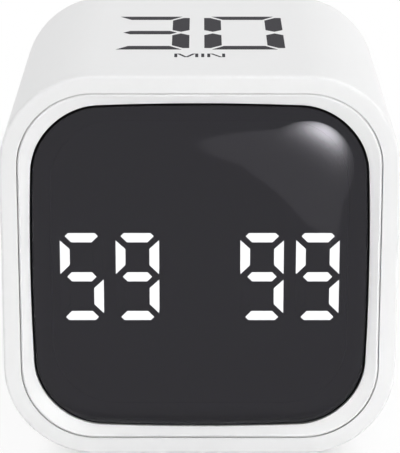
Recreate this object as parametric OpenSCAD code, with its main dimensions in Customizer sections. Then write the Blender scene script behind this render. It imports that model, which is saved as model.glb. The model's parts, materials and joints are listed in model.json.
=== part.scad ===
// Digital cube timer. Turned onto one of its four sides, it counts that side's time down.
// A domed smoked window covers a four-digit segment display. The back has the battery door,
// three push buttons and a slide switch.
// Millimetres, +Z up, the front faces -Y, the origin is the middle of the underside.

/* [Case] */
// Width of the case
case_w = 60; // [54:0.5:80]
// Depth of the case, front to back
case_d = 60; // [56:0.5:80]
// Height of the case
case_h = 60; // [54:0.5:80]
// Corner radius of the case, seen from the front
corner_r = 14.1; // [13:0.1:15]
// Wall of the outer sleeve
sleeve_wall = 2.6; // [2.2:0.1:3]
// Rounding of the sleeve's front and rear edges
edge_round = 1.5; // [0.8:0.1:1.8]
// Width of the parting groove round the front and rear panels
parting_gap = 0.15; // [0.12:0.01:0.3]
// Depth of the parting groove
groove_depth = 1; // [0.6:0.1:1.5]
// Clearance between fixed pieces that fit into each other
fit_gap = 0.1; // [0.05:0.01:0.2]
// Width of the sleeve's inner shoulders
shoulder_w = 1.2; // [0.8:0.1:1.5]
// Thickness of the sleeve's inner shoulders
shoulder_t = 1.5; // [1:0.1:3]
// Diameter of the sleeve's four screw bosses
boss_d = 5; // [4.4:0.1:5.4]
// Length of the screw bosses
boss_l = 10; // [9:0.5:14]
// Distance from the rounded inner corner to the middle of a boss
boss_inset = 3.3; // [3.2:0.1:3.8]
// Thickness of the web between a boss and its corner
boss_web = 1.6; // [1:0.1:2.4]

/* [Front window] */
// Width of the sloping frame round the window
ring_w = 1.65; // [1.2:0.05:2.2]
// How far the frame slopes back to the window's edge
ring_dish = 1.25; // [0.8:0.05:1.6]
// Softening of the frame's outer edge
ring_edge = 0.3; // [0.1:0.05:0.5]
// Depth of the frame inside the sleeve
bezel_depth = 6; // [5.5:0.1:6.4]
// Wall of the frame's skirt
skirt_wall = 1.6; // [1.2:0.1:2]
// Thickness of the ledge that carries the window
ledge_t = 1.5; // [1:0.1:1.8]
// Width of the ledge under the window
ledge_w = 3; // [2.6:0.1:3.3]
// Corner radius of the window
lens_r = 9.9; // [9:0.1:11]
// How far the window's sides bow outward
lens_bow = 0.8; // [0:0.05:1]
// Thickness of the window at its edge
lens_edge_t = 1.4; // [1:0.1:1.8]
// Rise of the window's dome from its edge to its middle
lens_rise = 2.9; // [1.6:0.1:3.4]
// Shape of the dome's section, from an ellipse at 2 to a flatter middle and fuller edges
lens_power = 4; // [2:0.5:6]
// Thickness of the foam gasket behind the window
gasket_t = 0.3; // [0.2:0.05:0.6]
// Diameter of the frame's board posts
post_d = 4; // [3.6:0.1:4.2]
// Distance from the frame's edge to the middle of a board post
post_inset = 5.85; // [5.75:0.05:6.2]

/* [Display] */
// Height of a digit
digit_h = 13.9; // [10:0.1:18]
// Width of a digit
digit_w = 6.55; // [5.5:0.05:7.4]
// Width of a digit's strokes
stroke = 1.42; // [1:0.01:1.6]
// Distance between the two digits of a pair
digit_pitch = 8.47; // [7.8:0.01:9]
// Distance from the reflector's opening to the outer digits
digit_side = 1.36; // [1:0.01:4]
// How far the digits lie below the middle of the case
digit_drop = 2.05; // [0:0.05:4]
// Distance from a digit's side to the tips of its top and bottom bars
bar_tip_in = 0.78; // [0.6:0.01:1.2]
// Distance from a digit's side to the tips of its middle bar
mid_tip_in = 1.07; // [0.9:0.01:1.5]
// Distance from a digit's top to the outer end of an upright
upright_end = 1.13; // [1.05:0.01:1.6]
// Distance from a digit's middle line to the outer end of an upright
upright_mid = 0.46; // [0.35:0.01:0.8]
// Clearance of a segment in its window
segment_gap = 0.05; // [0.03:0.01:0.1]
// Depth of a segment's diffuser
segment_t = 3.6; // [2:0.1:4]
// Depth of the reflector block
reflector_t = 5; // [5:0.1:6]
// Thickness of the circuit boards
board_t = 1.6; // [0.8:0.1:2]
// Distance from a post's middle to the display board's edge
board_margin = 3.6; // [3.2:0.1:4]
// Corner radius of the display board
board_r = 7; // [6:0.1:8]
// Length of a display diode
led_l = 1.6; // [1:0.1:2]
// Width of a display diode
led_w = 0.8; // [0.5:0.1:1.2]
// Height of a display diode
led_t = 0.7; // [0.4:0.1:0.9]

/* [Electronics] */
// Side of the controller chip
chip_w = 7; // [4:0.5:9]
// Height of the controller chip
chip_t = 1.2; // [0.8:0.1:2]
// Side of the tilt sensor
sensor_w = 3; // [2:0.1:4]
// Height of the tilt sensor
sensor_t = 1; // [0.6:0.1:1.5]
// Diameter of the buzzer
buzzer_d = 12; // [9:0.5:14]
// Height of the buzzer
buzzer_h = 6.5; // [4:0.5:10]
// Diameter of the buzzer's sound hole
buzzer_hole_d = 2; // [1:0.1:3]
// Diameter of the filter capacitor
capacitor_d = 5; // [4:0.5:8]
// Height of the filter capacitor
capacitor_h = 7; // [5:0.5:12]
// Width of the ribbon cable's headers
header_w = 10; // [9:0.5:12]
// Height of the ribbon cable's headers
header_h = 3; // [2.4:0.1:4]
// Depth of the ribbon cable's headers
header_t = 2.5; // [2:0.1:4]
// Width of the ribbon cable
ribbon_w = 8; // [5:0.5:9]
// Thickness of the ribbon cable
ribbon_t = 0.9; // [0.6:0.1:1.2]
// Sag of the ribbon cable
ribbon_sag = 1.5; // [0.5:0.1:3]
// Diameter of the battery leads
lead_d = 1.2; // [0.8:0.1:1.6]
// How far the battery leads loop forward
lead_loop = 9; // [6:0.5:12]
// Distance of the buzzer's middle from the display board's side
buzzer_in = 13; // [12:0.5:14]
// Distance of the buzzer's middle from the display board's lower edge
buzzer_up = 15; // [14:0.5:16]
// Distance of the capacitor's middle from the display board's side
capacitor_in = 12; // [11:0.5:13]
// Distance of the capacitor's middle from the display board's lower edge
capacitor_up = 13; // [12:0.5:14]
// Distance of the tilt sensor's middle from the display board's side
sensor_in = 14; // [12:0.5:15]
// Height of the tilt sensor's middle over the board's middle
sensor_up = 3; // [2:0.5:5]
// Place of the controller chip's middle, left or right of the board's middle
chip_x = 2; // [1:0.5:3]
// Distance of the controller chip's middle below the board's middle
chip_down = 3; // [2:0.5:4]
// Distance of the ribbon's front header from the display board's upper edge
header_down = 10; // [9:0.5:12]

/* [Rear cover] */
// Thickness of the rear cover
cover_t = 2; // [1.8:0.1:2.4]
// How far the rear cover lies inside the sleeve's end
cover_recess = 0.5; // [0.3:0.1:1]
// Chamfer of the rear cover's outer edge
cover_edge = 0.3; // [0.1:0.05:0.5]
// Diameter of the sound holes
sound_hole_d = 1.2; // [0.8:0.1:1.5]
// Distance between neighbouring sound holes
sound_hole_pitch = 2.2; // [1.8:0.1:2.6]
// Number of sound holes in the longer row
sound_holes = 6; // [3:1:8]

/* [Battery bay] */
// Number of cells
cell_count = 3; // [2:1:3]
// Clearance round a cell
cell_gap = 0.3; // [0.2:0.05:0.4]
// Diameter of a cell's raised terminal
nub_d = 3.8; // [3:0.1:4.5]
// Height of a cell's raised terminal
nub_l = 0.8; // [0.6:0.1:1.2]
// Length of a contact spring in the closed bay
spring_l = 3.6; // [3.4:0.1:4]
// Diameter of the spring wire
wire_d = 0.5; // [0.3:0.05:0.5]
// Turns of a contact spring
spring_turns = 3; // [2:1:3]
// Largest radius of a contact spring
spring_r = 3; // [2.4:0.1:3.6]
// Smallest radius of a contact spring
spring_tip_r = 1.9; // [1.5:0.1:2.2]
// Thickness of the contact plates
contact_t = 0.4; // [0.3:0.05:0.6]
// Distance from a cell's side to the edge of its contact plate
contact_side = 1.25; // [1:0.05:2]
// Height of the raised middle of a positive contact
contact_dome = 0.4; // [0.2:0.05:0.6]
// Clearance between a contact and its cell
contact_gap = 0.1; // [0.05:0.01:0.2]
// Width of a contact's soldering tail
tail_w = 1.6; // [1:0.1:2.4]
// Length of a contact's soldering tail outside the tub
tail_l = 1.5; // [1:0.1:3]
// Wall of the battery tub
tub_wall = 1.2; // [1:0.1:1.4]
// Clearance between the tub and the screw bosses
tub_boss_gap = 0.5; // [0.3:0.1:1]
// Clearance between the tub and the sleeve's shoulders at its sides
tub_side_gap = 0.25; // [0.2:0.05:0.5]
// Width of the ribs between the cells
rib_w = 1; // [0.6:0.1:1.4]
// Height of the ribs between the cells
rib_h = 2.5; // [1.5:0.1:3]
// Thickness of the battery door
door_t = 2; // [1.8:0.1:2.4]
// Clearance round the battery door
door_gap = 0.2; // [0.15:0.05:0.3]
// Diameter of the door's hinge pins
pin_d = 1.1; // [0.9:0.1:1.2]
// Length of the door's hinge pins
pin_l = 1.4; // [1:0.1:1.6]
// Running clearance round a hinge pin
pin_gap = 0.05; // [0.03:0.01:0.1]
// Diameter of the finger scoop in the door
scoop_d = 10; // [8:0.5:14]
// Depth of the finger scoop in the door
scoop_t = 1; // [0.5:0.1:1.2]
// Length of the door's snap ridge
ridge_l = 14; // [8:1:20]
// Radius of the door's snap ridge
ridge_r = 0.4; // [0.3:0.05:0.5]
// How far the snap ridge stands above the door's edge
ridge_proud = 0.1; // [0.05:0.01:0.12]

/* [Controls] */
// Diameter of a push button
button_d = 4.4; // [3.6:0.1:4.5]
// Running clearance round a button
button_gap = 0.15; // [0.1:0.05:0.25]
// How far a button stands out of the cover
button_proud = 0.3; // [0.1:0.05:0.4]
// Depth of the finger dish in a button
button_dish = 0.25; // [0:0.05:0.4]
// Travel of a push button
button_travel = 0.5; // [0.3:0.05:0.6]
// Distance between neighbouring push buttons
button_pitch = 5.6; // [5.5:0.1:5.7]
// Place of the middle push button, left or right of the case's middle
button_x = -3.7; // [-4:0.1:-3.6]
// Width of the collar that holds a button in
collar_w = 0.5; // [0.3:0.1:0.6]
// Thickness of the collar
collar_t = 1; // [0.6:0.1:1.2]
// Play between a collar and the cover
collar_gap = 0.05; // [0.03:0.01:0.1]
// Diameter of a button's stem
stem_d = 2.4; // [1.8:0.1:2.6]
// Length of a button's stem
stem_l = 0.6; // [0.4:0.1:1]
// Side of a push switch
tact_w = 4.5; // [4:0.1:4.8]
// Height of a push switch's body
tact_t = 3.5; // [3:0.1:4.5]
// Diameter of a push switch's plunger
plunger_d = 2.6; // [2:0.1:2.8]
// Length of a push switch's plunger
plunger_l = 2; // [1.6:0.1:2.2]
// How far a plunger stands out of its switch
plunger_out = 0.8; // [0.7:0.1:1]
// Place of the slide switch, left or right of the case's middle
slide_x = 8.2; // [8.1:0.1:8.4]
// Width of the slide switch
slide_w = 7; // [6.6:0.1:7.2]
// Height of the slide switch
slide_h = 4; // [3.6:0.1:5]
// Depth of the slide switch's body
slide_t = 3.6; // [3:0.1:3.9]
// Width of the slide knob
knob_w = 2.8; // [2.6:0.1:3]
// Height of the slide knob
knob_h = 2.6; // [2.4:0.1:3]
// How far the knob stands out of the cover
knob_proud = 0.4; // [0.2:0.05:0.45]
// Travel of the knob to each side of its middle place
knob_travel = 1.2; // [0.8:0.1:1.3]
// Side of the switch lever inside the knob
lever_w = 1.6; // [1.2:0.1:1.7]
// How far the lever reaches into the switch
lever_in = 2; // [1:0.1:2.4]
// How far the lever reaches into the knob
lever_up = 1.8; // [1:0.1:2.2]
// Height of the key board
key_h = 9.15; // [8:0.05:9.2]

/* [Fasteners] */
// Diameter of the screws
screw_d = 2; // [1.6:0.1:2.2]
// Clearance round a screw
screw_gap = 0.05; // [0.03:0.01:0.1]
// Diameter of a screw head
head_d = 3.6; // [3:0.1:3.8]
// Height of a screw head
head_t = 1; // [0.8:0.1:1.2]
// How far a cover screw's head lies below the cover's face
head_sink = 0.1; // [0.05:0.05:0.2]
// Length of the rear cover's screws
cover_screw_l = 8; // [6:0.5:9]
// Length of the boards' screws
board_screw_l = 5.4; // [4:0.1:5.6]
// Spare depth of a screw hole past the screw's end
hole_spare = 0.3; // [0.1:0.1:0.5]
// Diameter of the key board's posts
key_post_d = 3.6; // [3.2:0.1:3.6]
// Clearance between the key board's posts and the screw bosses
key_post_gap = 0.5; // [0.3:0.1:1]

/* [Hidden] */
$fn = 64;
over = 1;
// The dome stands out of the case's front, and the origin is the middle of both together
lens_proud = max(0, lens_rise - ring_dish);
y_front = (lens_proud - case_d) / 2;
y_back = y_front + case_d;
mid_z = case_h / 2;

// Outlines of the sleeve's inside, of the panels behind the parting groove, and of what fits snugly
inner_w = case_w - 2 * sleeve_wall;
inner_h = case_h - 2 * sleeve_wall;
inner_r = corner_r - sleeve_wall;
panel_w = inner_w - 2 * parting_gap;
panel_h = inner_h - 2 * parting_gap;
panel_r = inner_r - parting_gap;
snug_w = inner_w - 2 * fit_gap;
snug_h = inner_h - 2 * fit_gap;
snug_r = inner_r - fit_gap;

// The window and what lies behind it, from the front backwards
lens_w = panel_w - 2 * ring_w;
lens_h = panel_h - 2 * ring_w;
opening_w = lens_w - 2 * ledge_w;
opening_h = lens_h - 2 * ledge_w;
opening_r = lens_r;
y_lens_edge = y_front + ring_dish;
y_lens_back = y_lens_edge + lens_edge_t;
y_seat = y_lens_back + gasket_t;
y_ledge_back = y_seat + ledge_t;
y_bezel_back = y_front + bezel_depth;
y_board = y_lens_back + reflector_t;
y_board_back = y_board + board_t;
post_x = panel_w / 2 - post_inset;
post_z = panel_h / 2 - post_inset;
board_w = 2 * (post_x + board_margin);
board_h = 2 * (post_z + board_margin);
screw_hole_d = screw_d + 2 * screw_gap;
board_hole_l = board_screw_l - board_t + hole_spare;

// The lens is lofted through rings, from its back to the last small ring of its dome
lens_corner_steps = 10;
lens_side_steps = 6;
lens_dome_steps = 16;
lens_dome_end = 86;
lens_half = min(lens_w, lens_h) / 2;

// Digits that are shown, and the segments that each one lights: top, upper right, lower right,
// bottom, lower left, upper left, middle
FIVE = [true, false, true, true, false, true, true];
NINE = [true, true, true, true, false, true, true];
SHOWN = [FIVE, NINE, NINE, NINE];
SEGMENTS = [0 : 6];
DIGITS = [0 : 3];
pair_pitch = opening_w - digit_pitch - digit_w - 2 * digit_side;
function digit_x(d) = (d < 2 ? -1 : 1) * pair_pitch / 2 + (d % 2 == 0 ? -1 : 1) * digit_pitch / 2;

// Screw bosses in the sleeve's rear corners
boss_reach = (inner_r - boss_inset) * cos(45);
boss_x = case_w / 2 - corner_r + boss_reach;
boss_z = case_h / 2 - corner_r + boss_reach;

// The rear cover and the battery tub
y_cover = y_back - cover_recess;
y_cover_in = y_cover - cover_t;
y_head = y_cover - head_sink - head_t;
y_door_in = y_cover - door_t;
tub_w = inner_w - 2 * shoulder_w - 2 * tub_side_gap;
bay_w = tub_w - 2 * tub_wall;
key_z1 = case_h - sleeve_wall - shoulder_w - parting_gap;
key_z0 = key_z1 - key_h;
tub_z0 = mid_z - boss_z + boss_d / 2 + tub_boss_gap;
tub_z1 = key_z0 - tub_boss_gap;
bay_z0 = tub_z0 + tub_wall;
bay_z1 = tub_z1 - tub_wall;
bay_h = bay_z1 - bay_z0;
// The cells fill the bay: 10.5 mm thick and 44.5 mm long in the 60 mm case
cell_d = (bay_h - (cell_count + 1) * cell_gap) / cell_count;
cell_l = bay_w - spring_l - 2 * contact_t - contact_dome - 2 * contact_gap;
contact_w = cell_d - 2 * contact_side;
cell_y = y_door_in - cell_gap - cell_d / 2;
bay_y0 = cell_y - cell_d / 2 - cell_gap;
tub_y0 = bay_y0 - tub_wall;
CELLS = [0 : cell_count - 1];
function cell_z(i) = bay_z0 + cell_gap + cell_d / 2 + i * (cell_d + cell_gap);
// Each cell's raised terminal points the other way than its neighbour's
function cell_side(i) = i % 2 == 0 ? 1 : -1;
tail_x = bay_w / 2 - contact_t / 2;
tail_y0 = tub_y0 - tail_l;

// The battery door turns about its lower edge
door_w = bay_w - 2 * door_gap;
door_z1 = bay_z1 - door_gap;
hinge_y = y_cover - door_t / 2;
hinge_z = bay_z0 + door_gap + door_t / 2;

// The controls above the door
control_z = (key_z0 + key_z1) / 2;
key_post_x = boss_x - boss_d / 2 - key_post_gap - key_post_d / 2;
key_w = 2 * key_post_x + key_post_d;
y_collar = y_cover_in - collar_gap - collar_t;
y_stem = y_collar - stem_l;
y_tact = y_stem - plunger_out;
y_key = y_tact - tact_t;
y_key_front = y_key - board_t;
y_slide = y_key + slide_t;
BUTTONS = [-1, 0, 1];
dish_steps = 6;
function button_at(n) = button_x + n * button_pitch;

// Places of the parts on the back of the display board, from its middle
chip_at = [chip_x, -chip_down];
sensor_at = [board_w / 2 - sensor_in, sensor_up];
buzzer_at = [buzzer_in - board_w / 2, buzzer_up - board_h / 2];
capacitor_at = [board_w / 2 - capacitor_in, capacitor_up - board_h / 2];
header_at = [0, board_h / 2 - header_down];

// A rectangle with round corners
module rounded(w, h, r) {
    square([w - 2 * r, h], center = true);
    square([w, h - 2 * r], center = true);
    for (x = [-1, 1], y = [-1, 1])
        translate([x * (w / 2 - r), y * (h / 2 - r)])
            circle(r);
}

// An outline drawn in x and z, as a plate from y0 to y0 + t
module plate(y0, t) {
    translate([0, y0 + t, 0])
        rotate([90, 0, 0])
            linear_extrude(t)
                children();
}

// The same, with the outline drawn about the middle of the case
module mid_plate(y0, t) {
    translate([0, 0, mid_z])
        plate(y0, t)
            children();
}

// A profile carried round a rounded rectangle: x is outward from its edge, y is depth from y0
module carried_round(y0, w, h, r) {
    translate([0, y0, mid_z])
        rotate([-90, 0, 0])
            for (k = [0 : 3]) {
                across = k % 2 == 0 ? w : h;
                along = k % 2 == 0 ? h : w;
                rotate([0, 0, 90 * k]) {
                    translate([across / 2, 0, 0])
                        rotate([90, 0, 0])
                            linear_extrude(along - 2 * r, center = true)
                                children();
                    translate([across / 2 - r, along / 2 - r, 0])
                        rotate_extrude(angle = 90)
                            translate([r, 0])
                                children();
                }
            }
}

// Something made along +Z, turned to run along +Y from a point
module along_y(x, y, z) {
    translate([x, y, z])
        rotate([-90, 0, 0])
            children();
}

// A round bar along Y
module rod(x, y0, z, d, l) {
    along_y(x, y0, z)
        cylinder(d = d, h = l);
}

// A block along Y, placed by the middle of its face
module block(x, y0, z, w, l, h) {
    translate([x - w / 2, y0, z - h / 2])
        cube([w, l, h]);
}

module at_bosses() {
    for (x = [-1, 1], z = [-1, 1])
        translate([x * boss_x, 0, mid_z + z * boss_z])
            children();
}

module at_posts() {
    for (x = [-1, 1], z = [-1, 1])
        translate([x * post_x, 0, mid_z + z * post_z])
            children();
}

module at_key_posts() {
    for (x = [-1, 1])
        translate([x * key_post_x, 0, control_z])
            children();
}

// A pan-head screw along +Z, with the underside of its head at zero
module screw(l) {
    cylinder(d = screw_d, h = l);
    translate([0, 0, -head_t])
        cylinder(d1 = 0.8 * head_d, d2 = head_d, h = head_t / 2);
    translate([0, 0, -head_t / 2])
        cylinder(d = head_d, h = head_t / 2);
}

// Outline of the sleeve's wall, with its two outer edges rounded
module sleeve_profile() {
    translate([-sleeve_wall, 0])
        square([sleeve_wall - edge_round, case_d]);
    translate([-sleeve_wall, edge_round])
        square([sleeve_wall, case_d - 2 * edge_round]);
    for (end = [0, 1])
        translate([-edge_round, end == 0 ? edge_round : case_d - edge_round])
            intersection() {
                circle(edge_round);
                mirror([0, 1 - end])
                    square(edge_round);
            }
}

module sleeve_shoulders(y0) {
    long = case_w - 2 * corner_r;
    deep = shoulder_w + sleeve_wall / 2;
    for (z = [sleeve_wall / 2, case_h - sleeve_wall / 2 - deep])
        translate([-long / 2, y0, z])
            cube([long, shoulder_t, deep]);
}

module outer_sleeve() color("white") {
    y_boss = y_cover_in - boss_l;
    difference() {
        union() {
            carried_round(y_front, case_w, case_h, corner_r)
                sleeve_profile();
            sleeve_shoulders(y_bezel_back);
            sleeve_shoulders(y_cover_in - shoulder_t);
            at_bosses()
                rod(0, y_boss, 0, boss_d, boss_l);
            for (x = [-1, 1], z = [-1, 1])
                translate([x * boss_x, y_boss, mid_z + z * boss_z])
                    rotate([0, -x * z * 45, 0])
                        translate([x > 0 ? 0 : -boss_inset - sleeve_wall / 2, 0, -boss_web / 2])
                            cube([boss_inset + sleeve_wall / 2, boss_l - fit_gap, boss_web]);
        }
        at_bosses()
            rod(0, y_head - cover_screw_l - hole_spare, 0, screw_hole_d, case_d);
    }
}

// A point of a rounded rectangle's corner c, at angle a
function corner_point(c, a, hw, hh, r) = [
    ((c == 0 || c == 3) ? 1 : -1) * (hw - r) + r * cos(a),
    (c < 2 ? 1 : -1) * (hh - r) + r * sin(a)
];

// The same point with the sides bowed outward: the corners are drawn in
function bowed(p, hw, hh, bow) = [
    p[0] * (1 - bow / hw * pow(p[1] / hh, 2)),
    p[1] * (1 - bow / hh * pow(p[0] / hw, 2))
];

// Outline of the window drawn in by t, with corners of radius r
function lens_outline(t, r, bow = lens_bow) =
    let (hw = lens_w / 2 - t)
    let (hh = lens_h / 2 - t)
    [for (c = [0 : 3], k = [0 : lens_corner_steps + lens_side_steps - 1])
        let (start = corner_point(c, 90 * (c + min(1, k / lens_corner_steps)), hw, hh, r))
        let (next = corner_point((c + 1) % 4, 90 * (c + 1), hw, hh, r))
        let (share = max(0, k - lens_corner_steps) / lens_side_steps)
        bowed(start + (next - start) * share, hw, hh, bow)
    ];

// Outline of the front frame: a sloping face, a parting groove and a snug flange
module bezel_profile() {
    step = parting_gap - fit_gap;
    inside = ring_w + ledge_w + post_d / 2;
    polygon([
        [-ring_w, ring_dish],
        [-ring_edge, 0],
        [0, ring_edge],
        [0, groove_depth],
        [step, groove_depth],
        [step, bezel_depth],
        [-inside, bezel_depth],
        [-inside, ring_dish]
    ]);
}

module front_bezel() color("white") {
    hollow_w = snug_w - 2 * skirt_wall;
    hollow_h = snug_h - 2 * skirt_wall;
    difference() {
        union() {
            difference() {
                carried_round(y_front, panel_w, panel_h, panel_r)
                    bezel_profile();
                mid_plate(y_front, y_seat - y_front)
                    polygon(lens_outline(-fit_gap, lens_r + fit_gap));
                mid_plate(y_front, bezel_depth + over)
                    rounded(opening_w, opening_h, opening_r);
                mid_plate(y_ledge_back, bezel_depth)
                    rounded(hollow_w, hollow_h, snug_r - skirt_wall);
            }
            at_posts()
                rod(0, y_ledge_back - ledge_t / 2, 0, post_d, y_board - y_ledge_back + ledge_t / 2);
        }
        at_posts()
            rod(0, y_board - board_hole_l, 0, screw_hole_d, board_hole_l + over);
    }
}

module lens_gasket() color("dimgray")
    mid_plate(y_lens_back, gasket_t)
        difference() {
            polygon(lens_outline(0, lens_r));
            rounded(opening_w, opening_h, opening_r);
        }

// One ring of the lens at depth y, shrunk to a share s of its outline and rounder towards the middle
function lens_ring(s, y) =
    let (roundness = 1 - s * (1 - lens_r / lens_half))
    let (ring = lens_outline(lens_half * (1 - s), lens_half * s * roundness, lens_bow * s))
    [for (p = ring) [p[0], y, mid_z + p[1]]];

// A closed skin of triangles through rings that have the same number of points
module skin(rings) {
    count = len(rings[0]);
    last = len(rings) - 1;
    points = [for (ring = rings, p = ring) p];
    sides = [for (i = [0 : last - 1], k = [0 : count - 1])
        let (a = i * count + k)
        let (b = i * count + (k + 1) % count)
        each [[a, a + count, b + count], [a, b + count, b]]
    ];
    ends = [
        [for (k = [0 : count - 1]) k],
        [for (k = [0 : count - 1]) last * count + count - 1 - k]
    ];
    polyhedron(points, concat(sides, ends));
}

module front_lens() color("black") {
    dome_rings = [for (i = [0 : lens_dome_steps])
        let (s = cos(lens_dome_end * i / lens_dome_steps))
        lens_ring(s, y_lens_edge - lens_rise * sqrt(1 - pow(s, lens_power)))
    ];
    skin(concat([lens_ring(1, y_lens_back)], dome_rings));
}

// Outline of one segment of a digit about the digit's middle, grown by g on every side
module segment(s, g = 0) {
    hw = digit_w / 2;
    hh = digit_h / 2;
    third = stroke / 3;
    tip = hw - bar_tip_in;
    mid_tip = hw - mid_tip_in;
    top_bar = [
        [-tip - g, hh - third],
        [-tip + third, hh + g],
        [tip - third, hh + g],
        [tip + g, hh - third],
        [tip - 2 * third + g, hh - stroke - g],
        [-tip + 2 * third - g, hh - stroke - g]
    ];
    mid_bar = [
        [-mid_tip - g, 0],
        [-mid_tip + stroke / 2 - g, stroke / 2 + g],
        [mid_tip - stroke / 2 + g, stroke / 2 + g],
        [mid_tip + g, 0],
        [mid_tip - stroke / 2 + g, -stroke / 2 - g],
        [-mid_tip + stroke / 2 - g, -stroke / 2 - g]
    ];
    upright = [
        [hw + g, hh - upright_end + g],
        [hw + g, upright_mid - g],
        [hw - stroke - g, upright_mid + stroke - g],
        [hw - stroke - g, hh - upright_end - stroke + g]
    ];
    if (s == 0) polygon(top_bar);
    if (s == 1) polygon(upright);
    if (s == 2) mirror([0, 1]) polygon(upright);
    if (s == 3) mirror([0, 1]) polygon(top_bar);
    if (s == 4) rotate(180) polygon(upright);
    if (s == 5) mirror([1, 0]) polygon(upright);
    if (s == 6) polygon(mid_bar);
}

module segment_set(lit) {
    for (d = DIGITS, s = SEGMENTS)
        if (SHOWN[d][s] == lit)
            mid_plate(y_lens_back, segment_t)
                translate([digit_x(d), -digit_drop])
                    segment(s);
}

module lit_segments() color("white")
    segment_set(true);

module unlit_segments() color("gray")
    segment_set(false);

module display_reflector() color("black")
    difference() {
        mid_plate(y_lens_back, reflector_t)
            rounded(opening_w - 2 * fit_gap, opening_h - 2 * fit_gap, opening_r - fit_gap);
        for (d = DIGITS, s = SEGMENTS)
            mid_plate(y_lens_back - over, reflector_t + 2 * over)
                translate([digit_x(d), -digit_drop])
                    segment(s, segment_gap);
    }

module display_board() color("darkgreen")
    difference() {
        mid_plate(y_board, board_t)
            rounded(board_w, board_h, board_r);
        at_posts()
            rod(0, y_board - over, 0, screw_hole_d, board_t + 2 * over);
    }

// The middle of a segment about the middle of its digit
function segment_middle(s) =
    let (side = digit_w / 2 - stroke / 2)
    let (end = digit_h / 2 - stroke / 2)
    let (quarter = (digit_h / 2 - upright_end + upright_mid) / 2)
    [
        [0, end],
        [side, quarter],
        [side, -quarter],
        [0, -end],
        [-side, -quarter],
        [-side, quarter],
        [0, 0]
    ][s];

module display_leds() color("lightyellow")
    for (d = DIGITS, s = SEGMENTS) {
        flat = s % 3 == 0;
        at = segment_middle(s);
        block(digit_x(d) + at[0], y_board - led_t, mid_z - digit_drop + at[1],
            flat ? led_l : led_w, led_t, flat ? led_w : led_l);
    }

module board_screws() color("silver")
    at_posts()
        translate([0, y_board_back, 0])
            rotate([90, 0, 0])
                screw(board_screw_l);

module controller_chip() color("black")
    block(chip_at[0], y_board_back, mid_z + chip_at[1], chip_w, chip_t, chip_w);

module tilt_sensor() color("dimgray")
    block(sensor_at[0], y_board_back, mid_z + sensor_at[1], sensor_w, sensor_t, sensor_w);

module filter_capacitor() color("navy")
    rod(capacitor_at[0], y_board_back, mid_z + capacitor_at[1], capacitor_d, capacitor_h);

module buzzer() color("black")
    difference() {
        rod(buzzer_at[0], y_board_back, mid_z + buzzer_at[1], buzzer_d, buzzer_h);
        rod(buzzer_at[0], y_board_back + buzzer_h / 2, mid_z + buzzer_at[1], buzzer_hole_d, buzzer_h);
    }

module ribbon_headers() color("ivory") {
    block(header_at[0], y_board_back, mid_z + header_at[1], header_w, header_t, header_h);
    block(header_at[0], y_key_front - header_t, control_z, header_w, header_t, header_h);
}

// Height of the sagging ribbon at a share of its way from board to board
function ribbon_z(share) =
    let (z0 = mid_z + header_at[1])
    z0 + (control_z - z0) * share - 4 * ribbon_sag * share * (1 - share);

module ribbon_cable() color("lightgray") {
    steps = 14;
    y0 = y_board_back + header_t;
    y1 = y_key_front - header_t;
    line = [for (i = [0 : steps]) [y0 + (y1 - y0) * i / steps, ribbon_z(i / steps)]];
    under = [for (p = line) p - [0, ribbon_t / 2]];
    above = [for (i = [steps : -1 : 0]) line[i] + [0, ribbon_t / 2]];
    translate([header_at[0] - ribbon_w / 2, 0, 0])
        rotate([90, 0, 90])
            linear_extrude(ribbon_w)
                polygon(concat(under, above));
}

module key_board() color("darkgreen")
    difference() {
        translate([-key_w / 2, y_key_front, key_z0])
            cube([key_w, board_t, key_z1 - key_z0]);
        at_key_posts()
            rod(0, y_key_front - over, 0, screw_hole_d, board_t + 2 * over);
    }

module key_board_screws() color("silver")
    at_key_posts()
        along_y(0, y_key_front, 0)
            screw(board_screw_l);

module tact_switches() color("black")
    for (n = BUTTONS) {
        bore_d = plunger_d + 2 * button_gap;
        bore_l = plunger_l - plunger_out + button_travel + button_gap;
        difference() {
            block(button_at(n), y_key, control_z, tact_w, tact_t, tact_w);
            rod(button_at(n), y_tact - bore_l, control_z, bore_d, bore_l + over);
        }
    }

module slide_switch() color("silver") {
    slot_w = lever_w + 2 * knob_travel + 2 * button_gap;
    slot_h = lever_w + 2 * button_gap;
    slot_l = lever_in + button_gap;
    difference() {
        block(slide_x, y_key, control_z, slide_w, slide_t, slide_h);
        block(slide_x, y_slide - slot_l, control_z, slot_w, slot_l + over, slot_h);
    }
}

// Two rows of sound holes below the battery bay
module sound_hole_set() {
    row_z = sleeve_wall + (tub_z0 - sleeve_wall) / 2;
    rise = sound_hole_pitch * sin(60) / 2;
    for (row = [0, 1], i = [0 : sound_holes - 1 - row])
        rod((i - (sound_holes - 1 - row) / 2) * sound_hole_pitch, y_cover_in - over,
            row_z + (row == 0 ? rise : -rise), sound_hole_d, cover_t + 2 * over);
}

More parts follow.
